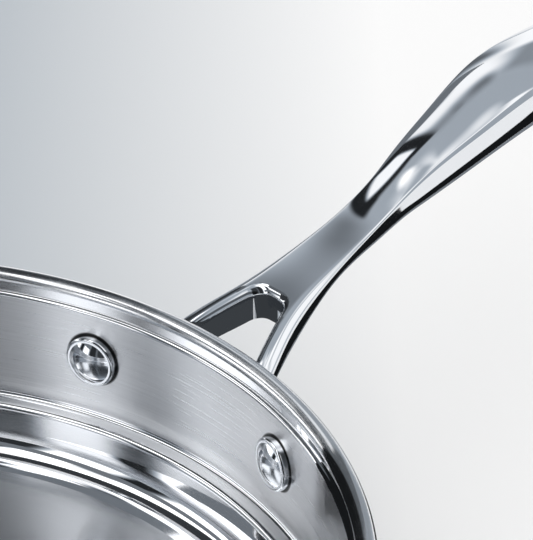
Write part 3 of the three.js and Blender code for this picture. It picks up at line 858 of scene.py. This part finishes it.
def wedge_outline(reach, angle_to_axis, radius, flat):
    """A wedge in plan, wide at the pan, with a rounded end and its points spread evenly along its sides."""
    rim = bpy.context.scene.pan_shell.rim_radius
    foot = rim + HANDLE_SECTIONS[0, 0] - CUT_PAST
    turns = np.linspace(angle_to_axis, math.pi / 2, CORNER_POINTS)
    corner = joined(rim + reach - radius + radius * np.sin(turns), flat + radius * np.cos(turns))
    along = np.linspace(foot, corner[0, 0], WEDGE_POINTS, endpoint=False)
    side = joined(along, corner[0, 1] + (corner[0, 0] - along) * math.tan(angle_to_axis))
    upper = np.vstack([side, corner])
    return np.vstack([upper, upper[::-1] * (1, -1)])


def plan_cutter(name, outlines, heights):
    """A closed cutter: each level is an outline in plan, raised to a height for every one of its points."""
    rings = [np.hstack([outline, height[:, None]]) for outline, height in zip(outlines, heights)]
    return grid_object(name, with_caps(np.array(rings)))


def lip_levels(opening, rim, depth, surface):
    """Levels of a cutter's rounded lip, from the opening's wall out onto the surface above it.

    A point of the lip lies at one minus the cosine of the turn along the way from opening to rim, and at the
    sine of the turn up its depth. The lip ends just short of level, and the cutter then leaves the surface.
    """
    turns = np.linspace(0, LIP_END, LIP_POINTS)
    shares = 1 - np.cos(turns)
    outlines = [opening + part * (rim - opening) for part in shares]
    heights = [surface(line) - depth * (1 - math.sin(turn)) for line, turn in zip(outlines, turns)]
    beyond = opening + (shares[-1] + LIP_LEAVE) * (rim - opening)
    return outlines + [beyond], heights + [surface(beyond) + CUT_PAST]


def ridge_over(line):
    """The height of the handle's ridge over points in plan."""
    _, top, _, crown, *_ = sections_over(line)
    return pan_levels().bead + top + crown


def face_over(line):
    """The height of the handle's crowned top over points in plan, a parabola across the width."""
    half, _, _, crown, *_ = sections_over(line)
    return ridge_over(line) - crown * (line[:, 1] / half) ** 2


def underside_turned(line):
    """The height of the handle's underside at points in plan, with its sign turned."""
    _, top, depth, *_ = sections_over(line)
    return -(pan_levels().bead + top - depth)


def fork_cutter():
    """The opening between the fork's arms, with a rounded lip round its top edge."""
    handle = bpy.context.scene.pan_handle
    lip_reach = handle.fork_reach + handle.lip_reach
    opening = wedge_outline(handle.fork_reach, handle.fork_angle, handle.fork_radius, handle.fork_flat)
    lip = wedge_outline(lip_reach, handle.lip_angle, handle.lip_radius, handle.lip_flat)
    outlines, heights = lip_levels(opening, lip, handle.lip_depth, ridge_over)
    floor = -underside_turned(opening) - CUT_PAST
    return plan_cutter("fork_cutter", [opening] + outlines, [floor] + heights)


def slot_cutter():
    """The slot that the pan hangs by, rounded over where it meets the top and the underside."""
    handle = bpy.context.scene.pan_handle
    middle = bpy.context.scene.pan_shell.rim_radius + handle.reach - handle.hole_inset
    spacing = handle.hole_length / 2 - handle.hole_half_width
    turns = np.linspace(-math.pi / 2, math.pi / 2, 2 * CORNER_POINTS)

    def slot(half):
        end = joined(middle + spacing + half * np.cos(turns), half * np.sin(turns))
        return np.vstack([end, (2 * middle, 0) - end])

    straight, flared = slot(handle.hole_half_width), slot(handle.hole_half_width + handle.hole_flare)
    top_lines, top_heights = lip_levels(straight, flared, handle.hole_flare, face_over)
    low_lines, low_heights = lip_levels(straight, flared, handle.hole_flare, underside_turned)
    low_heights = [-height for height in low_heights]
    return plan_cutter("slot_cutter", low_lines[::-1] + top_lines, low_heights[::-1] + top_heights)


def flange_plate():
    """The flange: a long plate with round ends and a rounded outer edge, wrapped on the wall's cone.

    Each point starts on the line between the two rivets and goes out to the plate's outline by a share. Its
    height and sideways place give the cone's radius there, to which the thickness is added.
    """
    handle, rivet = bpy.context.scene.pan_handle, bpy.context.scene.pan_rivets
    height = pan_levels().bead - rivet.drop
    turns = np.linspace(-math.pi / 2, math.pi / 2, 2 * CORNER_POINTS)
    end = joined(np.cos(turns), np.sin(turns))
    line = np.linspace(rivet.spacing / 2, -rivet.spacing / 2, SPINE_POINTS)[1:-1]
    spine = np.concatenate([np.full(len(end), rivet.spacing / 2), line])
    outward = np.vstack([end, np.tile((0, 1), (len(line), 1))])
    spine, outward = np.concatenate([spine, -spine]), np.vstack([outward, -outward])
    full, soft, thick = handle.flange_half_height, handle.flange_edge, handle.flange_thickness
    bend = np.linspace(0, math.pi / 2, FLANGE_EDGE_POINTS)
    inside = [(part * full, 0) for part in np.linspace(0, 1, FLANGE_POINTS)]
    edge = [(full, (thick - soft) / 2)]
    edge += [(full - soft + soft * math.cos(turn), thick - soft + soft * math.sin(turn)) for turn in bend]
    outside = [((full - soft) * part, thick) for part in np.linspace(1, 0, FLANGE_POINTS)[1:]]
    rows = np.array(inside + edge + outside)
    sideways = spine + rows[:, :1] * outward[:, 0]
    upward = height + rows[:, :1] * outward[:, 1]
    radius = outer_wall_radius(upward) + handle.flange_gap + rows[:, 1:]
    grid = joined(np.sqrt(radius ** 2 - sideways ** 2), sideways, upward)
    return grid_object("flange_plate", grid)


def wall_space():
    """The space that the casting leaves for the pan's wall, a cone a gap wider than the wall."""
    level, gap = pan_levels(), bpy.context.scene.pan_handle.flange_gap
    heights = np.linspace(level.step, level.bead, CONE_POINTS)
    cone = joined(outer_wall_radius(heights) + gap, heights)
    return grid_object("wall_space", turned(np.vstack([(0, level.step), cone, (0, level.bead)])))


class PAN_OT_handle(Operator):
    """Make the cast handle: flange, fork, waist and grip with its hanging slot"""

    bl_idname = "pan.make_handle"
    bl_label = "Handle"

    def execute(self, context):
        finish = context.scene.pan_finishes
        steel = mirror_steel("handle_polished_steel", finish.casting, finish.mirror_roughness)
        piece = grid_object("handle_cast", handle_bar(), [steel])
        carve(piece, [
            ("DIFFERENCE", fork_cutter()),
            ("DIFFERENCE", slot_cutter()),
            ("UNION", flange_plate()),
            ("DIFFERENCE", wall_space()),
            ("DIFFERENCE", bore_cutter(1)),
            ("DIFFERENCE", bore_cutter(-1)),
        ])
        finish_piece(piece, "handle")
        return {"FINISHED"}


class PAN_OT_stage(Operator):
    """Set up the camera, the floor and the studio light"""

    bl_idname = "pan.make_stage"
    bl_label = "Stage"

    def execute(self, context):
        stage = context.scene.pan_stage
        context.scene.view_settings.view_transform = "Standard"
        self.camera(context, stage)
        self.floor(stage)
        for name, corners, thickness, brightness in SCREENS:
            self.screen(name, np.array(corners), np.array(thickness), brightness)
        self.light(context, stage)
        return {"FINISHED"}

    def camera(self, context, stage):
        """Turns the camera about the target by azimuth, elevation and roll, and draws it back."""
        data = bpy.data.cameras.new("camera")
        data.sensor_width = SENSOR_WIDTH
        data.lens = stage.lens
        camera = bpy.data.objects.new("camera", data)
        view = Matrix.Translation(stage.target)
        upright, behind = math.pi / 2 - stage.elevation, math.pi / 2 + stage.azimuth
        for turn, axis in ((behind, "Z"), (upright, "X"), (stage.roll, "Z")):
            view = view @ Matrix.Rotation(turn, 4, axis)
        camera.matrix_world = view @ Matrix.Translation((0, 0, stage.distance))
        context.scene.collection.objects.link(camera)
        context.scene.camera = camera

    def floor(self, stage):
        """A round floor under the pan, pale, with painted shade that darkens it towards one side of the
        picture.
        """
        radius, under = stage.floor_radius, -FLOOR_THICKNESS
        rings = [(0, 0), *((band, 0) for band in FLOOR_BANDS), (radius, 0), (radius, under), (0, under)]
        floor = grid_object("floor", turned(np.array(rings), FLOOR_STEPS))
        inputs = {"Roughness": PAPER_ROUGHNESS, "Specular IOR Level": PAPER_GLOSS}
        material, tree, shader = new_material("floor_paper", inputs)
        place = add_node(tree, "ShaderNodeTexCoord").outputs["Object"]
        along = vectors(tree, "DOT_PRODUCT", place, ACROSS_PICTURE)
        # Painted shade: the floor's colour darkens towards the left of the picture
        shade_ramp = spread(tree, along, *FLOOR_SHADE_RAMP, 0, 1)
        set_inputs(shader, {"Base Color": mixed_colours(tree, shade_ramp, stage.floor_shaded, stage.floor_pale)})
        floor.data.materials.append(material)

    def light(self, context, stage):
        """Even light on everything, and for reflections a sky with soft boxes and dark screens.

        A card covers the directions whose azimuth and elevation lie within its half width and half height.
        The sky's greys take the shade's tint, and its lights the light's.
        """
        world = bpy.data.worlds.new("studio")
        world.use_nodes = True
        world.cycles.sampling_method = "NONE"
        tree = world.node_tree
        direction = add_node(tree, "ShaderNodeTexCoord").outputs["Generated"]
        parts = add_node(tree, "ShaderNodeSeparateXYZ", {0: direction}).outputs
        azimuth = maths(tree, "ARCTAN2", parts["Y"], parts["X"])
        elevation = maths(tree, "ARCSINE", parts["Z"])
        sky = spread(tree, elevation, 0, SKY_TOP, stage.sky_low, stage.sky_high)
        for *angles, brightness in STUDIO_CARDS:
            middle, height, half_width, half_height, soft = (math.radians(value) for value in angles)
            away = maths(tree, "WRAP", maths(tree, "SUBTRACT", azimuth, middle), math.pi, -math.pi)
            beside = soft_edge(tree, maths(tree, "ABSOLUTE", away), half_width, soft)
            above = maths(tree, "ABSOLUTE", maths(tree, "SUBTRACT", elevation, height))
            covered = maths(tree, "MULTIPLY", beside, soft_edge(tree, above, half_height, soft))
            sky = between(tree, covered, sky, brightness)
        mirrored = add_node(tree, "ShaderNodeLightPath").outputs["Is Glossy Ray"]
        strength = between(tree, mirrored, stage.even_light, sky)
        pale = between(tree, mirrored, 1, spread(tree, sky, stage.sky_high, 1, 0, 1))
        tint = mixed_colours(tree, pale, stage.shade_tint, stage.light_tint)
        set_inputs(tree.nodes["Background"], {"Color": tint, "Strength": strength})
        context.scene.world = world

    def screen(self, name, corners, thickness, brightness):
        """A thin screen from its outline, which shows in reflections alone."""
        screen = grid_object(name, with_caps(np.array([corners, corners + thickness])))
        tint = (*bpy.context.scene.pan_stage.shade_tint, 1)
        material = new_material(name, {"Base Color": (0, 0, 0, 1), "Specular IOR Level": 0,
                                       "Emission Color": tint, "Emission Strength": brightness})[0]
        material.cycles.emission_sampling = "NONE"
        screen.data.materials.append(material)
        for rays in ("camera", "diffuse", "transmission", "shadow", "volume_scatter"):
            setattr(screen, f"visible_{rays}", False)


class PAN_PT_panel(Panel):
    """Lists the pieces of the pan"""

    bl_idname = "PAN_PT_panel"
    bl_label = "Braising Pan"
    bl_space_type = "VIEW_3D"
    bl_region_type = "UI"
    bl_category = "Pan"

    def draw(self, context):
        for operator in OPERATORS:
            self.layout.operator(operator.bl_idname)
        for group in GROUPS:
            box = self.layout.box()
            settings = getattr(context.scene, group)
            for name in settings.bl_rna.properties.keys():
                if name not in {"rna_type", "name"}:
                    box.prop(settings, name, text=name.replace("_", " ").capitalize())


GROUPS = {
    "pan_shell": PAN_shell_sizes,
    "pan_handle": PAN_handle_sizes,
    "pan_rivets": PAN_rivet_sizes,
    "pan_finishes": PAN_finishes,
    "pan_stage": PAN_stage_settings,
}
OPERATORS = (PAN_OT_shell, PAN_OT_base, PAN_OT_handle, PAN_OT_rivets, PAN_OT_stage)
CLASSES = (*GROUPS.values(), *OPERATORS, PAN_PT_panel)


def register():
    for cls in CLASSES:
        bpy.utils.register_class(cls)
    for name, group in GROUPS.items():
        setattr(bpy.types.Scene, name, PointerProperty(type=group))


def unregister():
    for name in GROUPS:
        delattr(bpy.types.Scene, name)
    for cls in reversed(CLASSES):
        bpy.utils.unregister_class(cls)


def main():
    register()
    bpy.ops.pan.make_shell()
    bpy.ops.pan.make_base()
    bpy.ops.pan.make_handle()
    bpy.ops.pan.make_rivets()
    bpy.ops.pan.make_stage()


if __name__ == "__main__":
    main()
